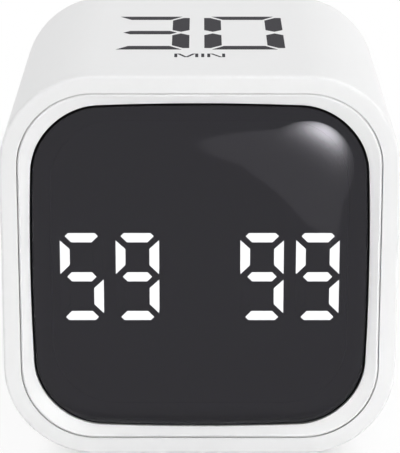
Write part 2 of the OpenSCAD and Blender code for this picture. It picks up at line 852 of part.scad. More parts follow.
module rear_cover() color("white") {
    knob_slot_w = knob_w + 2 * knob_travel + 2 * button_gap;
    head_hole_d = head_d + 2 * fit_gap;
    difference() {
        union() {
            mid_plate(y_cover_in, cover_t)
                rounded(panel_w, panel_h, panel_r);
            mid_plate(y_cover_in, cover_t - groove_depth)
                rounded(snug_w, snug_h, snug_r);
            translate([-tub_w / 2, tub_y0, tub_z0])
                cube([tub_w, y_cover_in - tub_y0 + cover_t / 2, tub_z1 - tub_z0]);
            at_key_posts()
                rod(0, y_key, 0, key_post_d, y_cover_in - y_key + cover_t / 2);
        }
        difference() {
            translate([-bay_w / 2, bay_y0, bay_z0])
                cube([bay_w, case_d, bay_h]);
            for (i = [1 : cell_count - 1])
                block(0, bay_y0 - over, cell_z(i) - (cell_d + cell_gap) / 2, bay_w + 2 * over,
                    rib_h + over, rib_w);
        }
        for (side = [-1, 1])
            translate([side > 0 ? bay_w / 2 - over : -bay_w / 2 + over, hinge_y, hinge_z])
                rotate([0, side * 90, 0])
                    cylinder(d = pin_d + 2 * pin_gap, h = pin_l - door_gap + over + 2 * pin_gap);
        for (i = [0, cell_count - 1])
            block(i == 0 ? tail_x : -cell_side(i) * tail_x, tub_y0 - over, cell_z(i),
                contact_t + 2 * fit_gap, tub_wall + 2 * over, tail_w + 2 * fit_gap);
        at_bosses() {
            rod(0, y_cover_in - over, 0, screw_hole_d, cover_t + 2 * over);
            rod(0, y_head, 0, head_hole_d, cover_t);
        }
        for (n = BUTTONS)
            rod(button_at(n), y_cover_in - over, control_z, button_d + 2 * button_gap, cover_t + 2 * over);
        block(slide_x, y_cover_in - over, control_z, knob_slot_w, cover_t + 2 * over,
            knob_h + 2 * button_gap);
        at_key_posts()
            rod(0, y_key - over, 0, screw_hole_d, over + board_hole_l);
        sound_hole_set();
        carried_round(y_cover, panel_w, panel_h, panel_r)
            polygon([
                [-cover_edge, 0],
                [0, -cover_edge],
                [over, -cover_edge],
                [over, over],
                [-cover_edge, over]
            ]);
    }
}

module cover_screws() color("silver")
    at_bosses()
        translate([0, y_head, 0])
            rotate([90, 0, 0])
                screw(cover_screw_l);

module battery_door() color("white")
    difference() {
        union() {
            translate([-door_w / 2, 0, 0])
                rotate([90, 0, 90])
                    linear_extrude(door_w) {
                        translate([y_door_in, hinge_z])
                            square([door_t, door_z1 - hinge_z]);
                        translate([hinge_y, hinge_z])
                            circle(door_t / 2);
                    }
            translate([-door_w / 2 - pin_l, hinge_y, hinge_z])
                rotate([0, 90, 0])
                    cylinder(d = pin_d, h = door_w + 2 * pin_l);
            translate([-ridge_l / 2, y_door_in + door_t / 3, door_z1 - ridge_r + ridge_proud])
                rotate([0, 90, 0])
                    cylinder(r = ridge_r, h = ridge_l);
        }
        rod(0, y_cover - scoop_t, door_z1, scoop_d, door_t);
    }

// A cell along +X from its flat end
module cell() {
    rotate([0, 90, 0])
        rotate_extrude()
            polygon([
                [0, 0],
                [cell_d / 2 - cell_gap, 0],
                [cell_d / 2, cell_gap],
                [cell_d / 2, cell_l - nub_l - cell_gap],
                [cell_d / 2 - cell_gap, cell_l - nub_l],
                [nub_d / 2, cell_l - nub_l],
                [nub_d / 2, cell_l],
                [0, cell_l]
            ]);
}

module at_cells() {
    for (i = CELLS)
        translate([0, cell_y, cell_z(i)])
            mirror([cell_side(i) > 0 ? 0 : 1, 0, 0])
                children();
}

module battery_cells() color("darkslategray")
    at_cells()
        translate([-bay_w / 2 + contact_t + spring_l + contact_gap, 0, 0])
            cell();

// Rings of round wire along a conical coil about X
function coil_ring(turn) =
    let (share = turn / spring_turns)
    let (r = spring_r + (spring_tip_r - spring_r) * share)
    let (x = wire_d / 2 + (spring_l - wire_d) * share)
    let (a = 360 * turn)
    [for (k = [5 : -1 : 0])
        let (rr = r + wire_d / 2 * cos(60 * k))
        [x + wire_d / 2 * sin(60 * k), rr * cos(a), rr * sin(a)]
    ];

// Least gap between neighbouring turns of a contact spring
coil_step = [(spring_l - wire_d) / spring_turns, (spring_r - spring_tip_r) / spring_turns];
echo(least_gap_between_spring_turns = norm(coil_step) - wire_d);

module cell_springs() color("silver")
    at_cells()
        translate([-bay_w / 2 + contact_t, 0, 0])
            skin([for (i = [0 : 8 * spring_turns]) coil_ring(i / 8)]);

module contact_plates() color("silver") {
    at_cells() {
        translate([-bay_w / 2, -contact_w / 2, -contact_w / 2])
            cube([contact_t, contact_w, contact_w]);
        translate([bay_w / 2 - contact_t, -contact_w / 2, -contact_w / 2])
            cube([contact_t, contact_w, contact_w]);
        translate([bay_w / 2 - contact_t - contact_dome, 0, 0])
            rotate([0, 90, 0])
                cylinder(d1 = nub_d * 0.7, d2 = nub_d, h = contact_dome);
    }
    for (i = [0, cell_count - 1])
        block(i == 0 ? tail_x : -cell_side(i) * tail_x, tail_y0, cell_z(i),
            contact_t, cell_y - tail_y0, tail_w);
}

// A lead from a contact's tail, looped forward and up to the key board
module lead(start, end) {
    steps = 18;
    sides = 8;
    forward = [0, -lead_loop, 0];
    a = start + forward;
    b = end + forward;
    function at(s) =
        pow(1 - s, 3) * start + 3 * s * pow(1 - s, 2) * a + 3 * s * s * (1 - s) * b + pow(s, 3) * end;
    function heading(s) = pow(1 - s, 2) * (a - start) + 2 * s * (1 - s) * (b - a) + s * s * (end - b);
    function unit(v) = v / norm(v);
    skin([for (i = [0 : steps])
        let (s = i / steps)
        let (u = unit(cross(heading(s), [1, 0, 0])))
        let (v = unit(cross(heading(s), u)))
        [for (k = [sides - 1 : -1 : 0])
            at(s) + lead_d / 2 * (u * cos(360 * k / sides) + v * sin(360 * k / sides))]
    ]);
}

lead_end_x = key_post_x - head_d / 2 - lead_d;
lead_end_z = control_z + header_h;

module positive_lead() color("red")
    lead([tail_x, tail_y0, cell_z(0)], [lead_end_x, y_key_front, lead_end_z]);

module negative_lead() color("black")
    lead([-cell_side(cell_count - 1) * tail_x, tail_y0, cell_z(cell_count - 1)],
        [-cell_side(cell_count - 1) * lead_end_x, y_key_front, lead_end_z]);

// A push button: a dished cap in its hole, a collar behind the cover and a stem on the switch
module push_button(n) {
    cap_top = y_cover + button_proud - y_stem;
    bevel = button_proud / 2;
    dish_r = button_d / 2 - 2 * bevel;
    dish = [for (i = [0 : dish_steps])
        let (share = 1 - i / dish_steps)
        [dish_r * share, cap_top - button_dish * (1 - share * share)]
    ];
    along_y(button_at(n), y_stem, control_z)
        rotate_extrude()
            polygon(concat([
                [0, 0],
                [stem_d / 2, 0],
                [stem_d / 2, stem_l],
                [button_d / 2 + collar_w, stem_l],
                [button_d / 2 + collar_w, stem_l + collar_t],
                [button_d / 2, stem_l + collar_t],
                [button_d / 2, cap_top - bevel],
                [button_d / 2 - bevel, cap_top]
            ], dish));
}

module push_plunger(n) {
    rod(button_at(n), y_stem - plunger_l, control_z, plunger_d, plunger_l);
}

module minute_button() color("white")
    push_button(-1);

module minute_plunger() color("black")
    push_plunger(-1);

module second_button() color("white")
    push_button(0);

module second_plunger() color("black")
    push_plunger(0);

module start_button() color("white")
    push_button(1);

module start_plunger() color("black")
    push_plunger(1);

module mode_knob() color("white") {
    ridge_pitch = knob_w / 4;
    difference() {
        union() {
            block(slide_x, y_collar, control_z, knob_w + 2 * collar_w, collar_t, knob_h + 2 * collar_w);
            block(slide_x, y_collar, control_z, knob_w, y_cover + knob_proud - y_collar, knob_h);
        }
        block(slide_x, y_collar - over, control_z, lever_w + 2 * fit_gap, lever_up + fit_gap + over,
            lever_w + 2 * fit_gap);
        for (i = [-1, 0, 1])
            block(slide_x + i * ridge_pitch, y_cover, control_z, ridge_pitch / 2, knob_proud + over,
                knob_h + over);
    }
}

module mode_lever() color("black")
    block(slide_x, y_slide - lever_in, control_z, lever_w, y_collar + lever_up - y_slide + lever_in,
        lever_w);

outer_sleeve();
front_bezel();
lens_gasket();
front_lens();
display_reflector();
lit_segments();
unlit_segments();
display_board();
display_leds();
board_screws();
controller_chip();
tilt_sensor();
filter_capacitor();
buzzer();
ribbon_headers();
ribbon_cable();
key_board();
key_board_screws();
tact_switches();
slide_switch();
rear_cover();
cover_screws();
battery_door();
battery_cells();
cell_springs();
contact_plates();
positive_lead();
negative_lead();
minute_button();
minute_plunger();
second_button();
second_plunger();
start_button();
start_plunger();
mode_knob();
mode_lever();
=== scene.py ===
"""Digital cube timer: finishes, smooth window and frame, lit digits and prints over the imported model."""
import json
import math

import bmesh
import bpy
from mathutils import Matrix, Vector


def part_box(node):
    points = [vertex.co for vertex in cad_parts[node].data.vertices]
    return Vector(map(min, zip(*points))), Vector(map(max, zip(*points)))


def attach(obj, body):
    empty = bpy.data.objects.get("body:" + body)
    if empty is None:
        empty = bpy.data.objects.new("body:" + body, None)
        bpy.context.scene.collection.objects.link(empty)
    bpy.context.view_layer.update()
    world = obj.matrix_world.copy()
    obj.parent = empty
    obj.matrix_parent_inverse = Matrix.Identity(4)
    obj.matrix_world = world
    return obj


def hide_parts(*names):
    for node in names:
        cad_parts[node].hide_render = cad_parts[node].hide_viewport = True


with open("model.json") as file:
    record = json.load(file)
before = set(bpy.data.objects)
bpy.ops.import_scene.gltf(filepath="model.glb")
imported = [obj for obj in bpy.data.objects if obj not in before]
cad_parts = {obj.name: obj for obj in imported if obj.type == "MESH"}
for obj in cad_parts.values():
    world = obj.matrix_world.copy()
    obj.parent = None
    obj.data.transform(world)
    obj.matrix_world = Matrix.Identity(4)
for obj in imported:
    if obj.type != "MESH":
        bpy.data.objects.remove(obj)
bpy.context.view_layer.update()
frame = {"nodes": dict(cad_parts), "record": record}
nodes = frame["nodes"]

MM = 0.001

# Sizes of the case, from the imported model
sleeve_low, sleeve_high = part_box("outer_sleeve")
lens_low, lens_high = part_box("front_lens")
bezel_low, bezel_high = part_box("front_bezel")
MID_Z = (sleeve_low.z + sleeve_high.z) / 2
RIM_Y = sleeve_low.y
LENS_BACK_Y = lens_high.y

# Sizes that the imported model's box doesn't give
SLEEVE_R = 14.1 * MM
SLEEVE_EDGE = 1.5 * MM
CRISP_EDGE = 0.5 * MM
PANEL_W = 54.5 * MM
PANEL_R = 11.35 * MM
RING_EDGE = 0.3 * MM
RING_DISH = 0.7 * MM
GROOVE_DEPTH = 0.4 * MM
FIT_GAP = 0.1 * MM
LENS_R = 9.9 * MM
LENS_BOW = 0.8 * MM
LENS_POWER = 4
LENS_EDGE_T = 1.4 * MM
LENS_CLEAR = 0.04 * MM
GASKET_T = 0.3 * MM
LIP_W = 0.22 * MM
LIP_PROUD = 0.03 * MM
LEDGE_W = 3 * MM
LEDGE_T = 1.5 * MM
SKIRT_DEPTH = 6 * MM
SKIRT_WALL = 1.6 * MM
POST_R = 2 * MM
HEAD_R = 1.8 * MM
SHANK_R = 1.0 * MM
HOLE_R = 1.05 * MM

# The window's edge, size and rise, from its packed box and the sizes above
LENS_EDGE_Y = LENS_BACK_Y - LENS_EDGE_T
LENS_W = lens_high.x - lens_low.x
LENS_H = lens_high.z - lens_low.z
LENS_RISE = LENS_EDGE_Y - lens_low.y

# The camera's height angle and distance come from the cube's edges in the picture
IMAGE_W, IMAGE_H = 400, 453
FOCAL_PIXELS = 2350.2
SENSOR_W = 36
CLIP_START = 10 * MM
PITCH = 0.2971
CAMERA_AT = (0.04 * MM, -366.9 * MM, 140.2 * MM)


def add_camera():
    """The camera looks at the front from a little above."""
    data = bpy.data.cameras.new("camera")
    data.sensor_width = SENSOR_W
    data.lens = FOCAL_PIXELS * SENSOR_W / max(IMAGE_W, IMAGE_H)
    data.clip_start = CLIP_START
    camera = bpy.data.objects.new("camera", data)
    camera.location = CAMERA_AT
    camera.rotation_euler = (math.pi / 2 - PITCH, 0, 0)
    bpy.context.scene.collection.objects.link(camera)
    bpy.context.scene.camera = camera


add_camera()


# Finishes

NOISE_DETAIL = 2.0
DRIFT_GRAINS = 12
ROUGH_SPREAD = 0.15
BUMP_HEIGHT = 0.01 * MM
LENS_ALPHA = 0.6
LENS_NOISE = 60
LENS_DARK = (0.0012, 0.001, 0.0036)
LENS_PALE = (0.0018, 0.0015, 0.0044)
LENS_ROUGH = 0.04
LENS_INDEX = 1.56
LENS_TINT = (0.95, 0.93, 1.0, 1)
GLOW_NOISE = 150
GLOW_COOL = (0.97, 0.98, 1.0)
GLOW_WHITE = (1.0, 1.0, 1.0)
GLOW_ROUGH = 0.5


def new_material(name):
    """A material with one Principled shader, its node tree and that shader."""
    material = bpy.data.materials.new(name)
    material.use_nodes = True
    tree = material.node_tree
    tree.nodes.clear()
    out = tree.nodes.new("ShaderNodeOutputMaterial")
    shader = tree.nodes.new("ShaderNodeBsdfPrincipled")
    tree.links.new(shader.outputs["BSDF"], out.inputs["Surface"])
    return material, tree, shader


def noise_node(tree, per_metre):
    """Noise over the object's own coordinates, as an output from 0 to 1."""
    where = tree.nodes.new("ShaderNodeTexCoord")
    noise = tree.nodes.new("ShaderNodeTexNoise")
    noise.inputs["Scale"].default_value = per_metre
    noise.inputs["Detail"].default_value = NOISE_DETAIL
    tree.links.new(where.outputs["Object"], noise.inputs["Vector"])
    return noise.outputs["Fac"]


def between(tree, factor, low, high):
    """A number that runs from low to high with the factor."""
    spread = tree.nodes.new("ShaderNodeMapRange")
    spread.inputs["To Min"].default_value = low
    spread.inputs["To Max"].default_value = high
    tree.links.new(factor, spread.inputs["Value"])
    return spread.outputs["Result"]


def blend_colours(tree, factor, low, high):
    """A colour that runs from low to high with the factor."""
    mix = tree.nodes.new("ShaderNodeMix")
    mix.data_type = "RGBA"
    mix.inputs["A"].default_value = (*low, 1)
    mix.inputs["B"].default_value = (*high, 1)
    tree.links.new(factor, mix.inputs["Factor"])
    return mix.outputs["Result"]


def mottled(name, colour, drift, rough, grain, metal=0.0, bump=0.0, specular=0.5):
    """A finish whose colour drifts by a share and whose roughness follows a fine grain."""
    material, tree, shader = new_material(name)
    slow = noise_node(tree, grain / DRIFT_GRAINS)
    fine = noise_node(tree, grain)
    low = [max(0.0, c * (1 - drift)) for c in colour]
    high = [min(1.0, c * (1 + drift)) for c in colour]
    tree.links.new(blend_colours(tree, slow, low, high), shader.inputs["Base Color"])
    roughness = between(tree, fine, rough * (1 - ROUGH_SPREAD), rough * (1 + ROUGH_SPREAD))
    tree.links.new(roughness, shader.inputs["Roughness"])
    shader.inputs["Metallic"].default_value = metal
    shader.inputs["Specular IOR Level"].default_value = specular
    if bump:
        relief = tree.nodes.new("ShaderNodeBump")
        relief.inputs["Strength"].default_value = bump
        relief.inputs["Distance"].default_value = BUMP_HEIGHT
        tree.links.new(fine, relief.inputs["Height"])
        tree.links.new(relief.outputs["Normal"], shader.inputs["Normal"])
    return material


def lens_material():
    """Smoked acrylic: dark, polished and partly see-through."""
    material, tree, shader = new_material("smoked_lens")
    slow = noise_node(tree, LENS_NOISE)
    colour = blend_colours(tree, slow, LENS_DARK, LENS_PALE)
    tree.links.new(colour, shader.inputs["Base Color"])
    shader.inputs["Roughness"].default_value = LENS_ROUGH
    shader.inputs["IOR"].default_value = LENS_INDEX
    shader.inputs["Specular Tint"].default_value = LENS_TINT
    shader.inputs["Alpha"].default_value = LENS_ALPHA
    return material


def glowing_material():
    """The lit diffusers, bright enough to read white through both faces of the window."""
    material, tree, shader = new_material("lit_white")
    slow = noise_node(tree, GLOW_NOISE)
    colour = blend_colours(tree, slow, GLOW_COOL, GLOW_WHITE)
    tree.links.new(colour, shader.inputs["Base Color"])
    tree.links.new(colour, shader.inputs["Emission Color"])
    shader.inputs["Emission Strength"].default_value = 1.0 / (1 - LENS_ALPHA) ** 2
    shader.inputs["Roughness"].default_value = GLOW_ROUGH
    return material


FINISHES = {
    "white_shell": mottled("white_shell", (0.79, 0.79, 0.793), 0.01, 0.42, 9000, bump=0.15),
    "smoked_lens": lens_material(),
    "black_plastic": mottled("black_plastic", (0.004, 0.004, 0.004), 0.2, 0.6, 6000),
    "lit_white": glowing_material(),
    "unlit_grey": mottled("unlit_grey", (0.006, 0.006, 0.007), 0.2, 0.5, 4000),
    "circuit_board": mottled("circuit_board", (0.02, 0.17, 0.07), 0.25, 0.35, 3000),
    "led_body": mottled("led_body", (0.9, 0.82, 0.45), 0.06, 0.4, 6000),
    "chip_black": mottled("chip_black", (0.02, 0.02, 0.022), 0.2, 0.5, 8000, bump=0.2),
    "capacitor_blue": mottled("capacitor_blue", (0.03, 0.05, 0.18), 0.1, 0.35, 3000),
    "header_ivory": mottled("header_ivory", (0.8, 0.74, 0.58), 0.05, 0.45, 5000),
    "ribbon_grey": mottled("ribbon_grey", (0.5, 0.5, 0.52), 0.08, 0.5, 5000),
    "screw_steel": mottled("screw_steel", (0.62, 0.62, 0.64), 0.08, 0.3, 9000, metal=1.0),
    "switch_metal": mottled("switch_metal", (0.66, 0.66, 0.66), 0.06, 0.3, 7000, metal=1.0),
    "contact_nickel": mottled("contact_nickel", (0.7, 0.68, 0.64), 0.06, 0.25, 7000, metal=1.0),
    "cell_jacket": mottled("cell_jacket", (0.05, 0.055, 0.06), 0.12, 0.3, 3000, metal=0.3),
    "gasket_foam": mottled("gasket_foam", (0.02, 0.02, 0.02), 0.3, 0.9, 7000, bump=0.5),
    "lead_red": mottled("lead_red", (0.5, 0.02, 0.02), 0.08, 0.5, 5000),
    "lead_black": mottled("lead_black", (0.02, 0.02, 0.02), 0.15, 0.5, 5000),
    "control_grey": mottled("control_grey", (0.5, 0.51, 0.53), 0.03, 0.45, 8000, bump=0.15),
}
# A little whiter than the sleeve's white: painted light that brightens the shaded, sloping face of the
# frame.
FRAME_WHITE_LIFTED = mottled("frame_white_with_painted_light", (0.82, 0.82, 0.823), 0.005, 0.42, 9000, bump=0.15)
# Near-black and without sheen: painted shade for the gap at the window's rim.
SHADOW_GAP_BLACK = mottled("painted_shadow_gap_black", (0.006, 0.006, 0.006), 0.1, 0.8, 7000, specular=0.0)
PRINT_INK = mottled("print_ink", (0.021, 0.0195, 0.025), 0.06, 0.6, 7000, specular=0.1)


def dress_nodes():
    """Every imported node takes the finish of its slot."""
    for row in frame["record"]["subparts"]:
        node = nodes[row["node"]]
        node.data.materials.clear()
        node.data.materials.append(FINISHES[row["material_slot"]])


dress_nodes()


# Meshes

SHARP_ANGLE = math.radians(40)
CORNER_STEPS = 36
SIDE_STEPS = 24
DOME_STEPS = 64
DOME_END = math.radians(89)
LIP_STEPS = 8
SLEEVE_EDGE_STEPS = 6
RING_EDGE_STEPS = 8
SLOPE_STEPS = 10
POST_STEPS = 32


def add_mesh(name, points, faces, material, body, smooth=True):
    """A mesh piece in the row's frame that rides on a body."""
    mesh = bpy.data.meshes.new(name)
    mesh.from_pydata([tuple(p) for p in points], [], faces)
    work = bmesh.new()
    work.from_mesh(mesh)
    bmesh.ops.recalc_face_normals(work, faces=work.faces)
    work.to_mesh(mesh)
    work.free()
    mesh.polygons.foreach_set("use_smooth", [smooth] * len(mesh.polygons))
    mesh.materials.append(material)
    piece = bpy.data.objects.new(name, mesh)
    bpy.context.scene.collection.objects.link(piece)
    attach(piece, body)
    return piece


def keep_sharp_edges(piece):
    """Splits the shading of a smooth piece at its sharp edges."""
    split = piece.modifiers.new("sharp_edges", "EDGE_SPLIT")
    split.split_angle = SHARP_ANGLE


def skin_rings(rings, closed_ends):
    """Points and faces of a skin through rings of equally many points, with its ends capped or joined."""
    count = len(rings[0])
    points = [p for ring in rings for p in ring]
    last = len(rings) - 1 if closed_ends else len(rings)
    faces = []
    for i in range(last):
        here = i * count
        there = (i + 1) % len(rings) * count
        for k in range(count):
            after = (k + 1) % count
            faces.append((here + k, here + after, there + after, there + k))
    if closed_ends:
        faces.append(tuple(reversed(range(count))))
        faces.append(tuple(range((len(rings) - 1) * count, len(rings) * count)))
    return points, faces


def joined(skins):
    """Points and faces of several skins as those of one mesh."""
    points, faces = [], []
    for skin_points, skin_faces in skins:
        base = len(points)
        points += skin_points
        faces += [tuple(base + k for k in face) for face in skin_faces]
    return points, faces


def outline(half_w, half_h, radius, bow=0.0):
    """Points of a rounded rectangle in x and z about its middle, with its sides bowed outward."""
    points = []
    for corner in range(4):
        side_x = 1 if corner in (0, 3) else -1
        side_z = 1 if corner < 2 else -1
        for k in range(CORNER_STEPS + 1):
            angle = math.pi / 2 * (corner + k / CORNER_STEPS)
            x = side_x * (half_w - radius) + radius * math.cos(angle)
            z = side_z * (half_h - radius) + radius * math.sin(angle)
            points.append((x, z))
        step_x, step_z = [(-1, 0), (0, -1), (1, 0), (0, 1)][corner]
        length = 2 * ((half_w if step_x else half_h) - radius)
        for k in range(1, SIDE_STEPS):
            run = length * k / SIDE_STEPS
            points.append((x + step_x * run, z + step_z * run))
    return [
        (x * (1 - bow / half_w * (z / half_h) ** 2), z * (1 - bow / half_h * (x / half_w) ** 2))
        for x, z in points
    ]


def ring_at(shape, y):
    """An outline in x and z as a ring of points at depth y."""
    return [(x, y, MID_Z + z) for x, z in shape]


def dome_y(share):
    """Depth of the window's front at a share of the way from its middle to its edge."""
    return LENS_EDGE_Y - LENS_RISE * math.sqrt(1 - share ** LENS_POWER)


def lens_ring(share, y, proud=0.0):
    """A ring of the window's shape at a share of its size, which is rounder towards the middle."""
    half = LENS_W / 2 * share
    roundness = 1 - share * (1 - LENS_R / (LENS_W / 2))
    return ring_at(outline(half + proud, half + proud, half * roundness + proud, LENS_BOW * share), y)


def add_lens():
    """The window: a side wall and a pillow-like dome."""
    rings = [lens_ring(1, LENS_BACK_Y - LENS_CLEAR)]
    for i in range(DOME_STEPS + 1):
        share = math.cos(DOME_END * i / DOME_STEPS)
        rings.append(lens_ring(share, dome_y(share)))
    points, faces = skin_rings(rings, closed_ends=True)
    lens = add_mesh("window", points, faces, FINISHES["smoked_lens"], "case")
    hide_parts("front_lens")
    keep_sharp_edges(lens)


def add_painted_shadow_gap():
    """A near-black strip that hugs the window's rim, between the window and its frame: painted shade for
    the dark gap there.
    """
    lip_share = LIP_W / (LENS_W / 2)
    rings = [lens_ring(1, LENS_BACK_Y - LENS_CLEAR, LIP_PROUD)]
    for i in range(LIP_STEPS + 1):
        share = 1 - lip_share * (i / LIP_STEPS) ** 2
        rings.append(lens_ring(share, dome_y(share) - LIP_PROUD, LIP_PROUD))
    rings.append(lens_ring(1 - lip_share, LENS_BACK_Y - LENS_CLEAR))
    points, faces = skin_rings(rings, closed_ends=False)
    add_mesh("painted_shadow_gap", points, faces, SHADOW_GAP_BLACK, "case")


def add_front_edge():
    """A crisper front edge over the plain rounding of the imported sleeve."""
    half = sleeve_high.x

    def ring(inset, back):
        return ring_at(outline(half - inset, half - inset, SLEEVE_R - inset), RIM_Y + back)

    rings = [ring(0, SLEEVE_EDGE)]
    for i in range(SLEEVE_EDGE_STEPS + 1):
        angle = math.pi / 2 * i / SLEEVE_EDGE_STEPS
        rings.append(ring(CRISP_EDGE * (1 - math.cos(angle)), CRISP_EDGE * (1 - math.sin(angle))))
    rings.append(ring(SLEEVE_EDGE, 0))
    points, faces = skin_rings(rings, closed_ends=False)
    edge = add_mesh("front_edge", points, faces, FINISHES["white_shell"], "case")
    keep_sharp_edges(edge)


def screw_places(low, high):
    """Middles in x and z of four screws whose heads touch the sides of a box."""
    return [
        (x, z)
        for x in (low.x + HEAD_R, high.x - HEAD_R)
        for z in (low.z + HEAD_R, high.z - HEAD_R)
    ]


def frame_posts(front_y):
    """The frame's four posts, a tube round each screw of the display's board."""
    low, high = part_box("board_screws")
    back_y = bezel_high.y
    turns = [2 * math.pi * k / POST_STEPS for k in range(POST_STEPS)]
    profile = [(POST_R, front_y), (POST_R, back_y), (HOLE_R, back_y), (HOLE_R, front_y)]
    skins = []
    for x0, z0 in screw_places(low, high):
        rings = [[(x0 + r * math.cos(a), y, z0 + r * math.sin(a)) for a in turns] for r, y in profile]
        skins.append(skin_rings(rings, closed_ends=False))
    return skins


def add_bezel():
    """The frame round the window: softened outer edge, sloping face, pocket, skirt and posts."""
    half = PANEL_W / 2
    pocket = outline(LENS_W / 2 + FIT_GAP, LENS_H / 2 + FIT_GAP, LENS_R + FIT_GAP, LENS_BOW)
    seat_y = LENS_BACK_Y + GASKET_T
    ledge_y = seat_y + LEDGE_T
    skirt_y = RIM_Y + SKIRT_DEPTH
    flange = (bezel_high.x - bezel_low.x) / 2
    step = flange - half

    def panel(inset):
        return outline(half - inset, half - inset, PANEL_R - inset)

    rings = [ring_at(panel(-step), skirt_y), ring_at(panel(-step), RIM_Y + GROOVE_DEPTH)]
    rings.append(ring_at(panel(0), RIM_Y + GROOVE_DEPTH))
    for i in range(RING_EDGE_STEPS + 1):
        angle = math.pi / 2 * i / RING_EDGE_STEPS
        inset = RING_EDGE * (1 - math.cos(angle))
        rings.append(ring_at(panel(inset), RIM_Y + RING_EDGE * (1 - math.sin(angle))))
    rim = panel(RING_EDGE)
    for i in range(1, SLOPE_STEPS + 1):
        share = i / SLOPE_STEPS
        slope = [
            (x0 + (x1 - x0) * share, z0 + (z1 - z0) * share)
            for (x0, z0), (x1, z1) in zip(rim, pocket)
        ]
        rings.append(ring_at(slope, RIM_Y + RING_DISH * share))
    rings.append(ring_at(pocket, seat_y))
    opening = outline(LENS_W / 2 - LEDGE_W, LENS_H / 2 - LEDGE_W, LENS_R)
    rings.append(ring_at(opening, seat_y))
    rings.append(ring_at(opening, ledge_y))
    rings.append(ring_at(panel(SKIRT_WALL - step), ledge_y))
    rings.append(ring_at(panel(SKIRT_WALL - step), skirt_y))
    points, faces = joined([skin_rings(rings, closed_ends=False)] + frame_posts(ledge_y))
    bezel = add_mesh("window_frame", points, faces, FRAME_WHITE_LIFTED, "case")
    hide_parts("front_bezel")
    keep_sharp_edges(bezel)


FACE_R = 1.44 * MM
HEAD_T = 1.0 * MM
CROSS_REACH = 1.0 * MM
CROSS_HALF = 0.25 * MM
CROSS_DEPTH = 0.6 * MM


def cross_shape():
    """A cross in x and z, with a point at every corner and in the middle of every edge."""
    a, b = CROSS_REACH, CROSS_HALF
    quarter = [(a, b), (b, b), (b, a)]
    corners = []
    for _ in range(4):
        corners += quarter
        quarter = [(-z, x) for x, z in quarter]
    points = []
    for here, after in zip(corners, corners[1:] + corners[:1]):
        points += [here, ((here[0] + after[0]) / 2, (here[1] + after[1]) / 2)]
    return points


def add_cover_screws():
    """The cover's four screws, with a cross recess in each head."""
    low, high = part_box("cover_screws")
    cross = cross_shape()
    start = math.atan2(CROSS_HALF, CROSS_REACH)
    turns = [start + 2 * math.pi * k / len(cross) for k in range(len(cross))]

    def circle(radius):
        return [(radius * math.cos(a), radius * math.sin(a)) for a in turns]

    profile = [
        (cross, CROSS_DEPTH),
        (cross, 0),
        (circle(FACE_R), 0),
        (circle(HEAD_R), HEAD_T / 2),
        (circle(HEAD_R), HEAD_T),
        (circle(SHANK_R), HEAD_T),
        (circle(SHANK_R), high.y - low.y),
    ]
    skins = []
    for x0, z0 in screw_places(low, high):
        rings = [[(x0 + x, high.y - depth, z0 + z) for x, z in shape] for shape, depth in profile]
        skins.append(skin_rings(rings, closed_ends=True))
    points, faces = joined(skins)
    steel = FINISHES["screw_steel"]
    screws = add_mesh("cross_head_screws", points, faces, steel, "case")
    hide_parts("cover_screws")
    keep_sharp_edges(screws)


add_lens()
add_painted_shadow_gap()
add_front_edge()
add_bezel()
add_cover_screws()


# Prints on the four sides

PRINT_UP = 0.01 * MM
PRINT_DOWN = 0.02 * MM
NUMERAL_Y = 0.72 * MM
UNIT_Y = -15.55 * MM
NUMERAL_W = 12.55 * MM
NUMERAL_H = 24.4 * MM
NUMERAL_STEP = 14.9 * MM
PAIR_SHIFT = -0.46 * MM
BAR_T = 2.5 * MM
UPRIGHT_T = 2.72 * MM
BAR_TIP_IN = 1.17 * MM
BAR_INNER_IN = 3.05 * MM
MID_TIP_IN = 2.0 * MM
MID_FLAT_IN = 3.1 * MM
UPRIGHT_END = 1.0 * MM
UPRIGHT_FLAT = 1.0 * MM
UPRIGHT_INNER_END = 3.0 * MM
UPRIGHT_MID = 0.62 * MM
UPRIGHT_MID_CORNER = 1.88 * MM

# Lit strokes of a numeral: top, upper right, lower right, bottom, lower left, upper left, middle
STROKES = {
    "0": (0, 1, 2, 3, 4, 5),
    "1": (1, 2),
    "3": (0, 1, 2, 3, 6),
    "5": (0, 2, 3, 5, 6),
    "6": (0, 2, 3, 4, 5, 6),
}


def stroke_shape(stroke):
    """Outline of one stroke of a printed numeral about the numeral's middle."""
    hw, hh = NUMERAL_W / 2, NUMERAL_H / 2
    bar = [
        (-hw + BAR_TIP_IN, hh),
        (-hw + BAR_INNER_IN, hh - BAR_T),
        (hw - BAR_INNER_IN, hh - BAR_T),
        (hw - BAR_TIP_IN, hh),
    ]
    middle = [
        (-hw + MID_TIP_IN, 0),
        (-hw + MID_FLAT_IN, -BAR_T / 2),
        (hw - MID_FLAT_IN, -BAR_T / 2),
        (hw - MID_TIP_IN, 0),
        (hw - MID_FLAT_IN, BAR_T / 2),
        (-hw + MID_FLAT_IN, BAR_T / 2),
    ]
    upright = [
        (hw, UPRIGHT_MID_CORNER),
        (hw, hh - UPRIGHT_END),
        (hw - UPRIGHT_FLAT, hh - UPRIGHT_END),
        (hw - UPRIGHT_T, hh - UPRIGHT_INNER_END),
        (hw - UPRIGHT_T, UPRIGHT_MID_CORNER),
        (hw - UPRIGHT_T / 2, UPRIGHT_MID),
    ]
    shape, flip_x, flip_y = {
        0: (bar, 1, 1),
        1: (upright, 1, 1),
        2: (upright, 1, -1),
        3: (bar, 1, -1),
        4: (upright, -1, -1),
        5: (upright, -1, 1),
        6: (middle, 1, 1),
    }[stroke]
    points = [(x * flip_x, y * flip_y) for x, y in shape]
    return points if flip_x * flip_y > 0 else points[::-1]


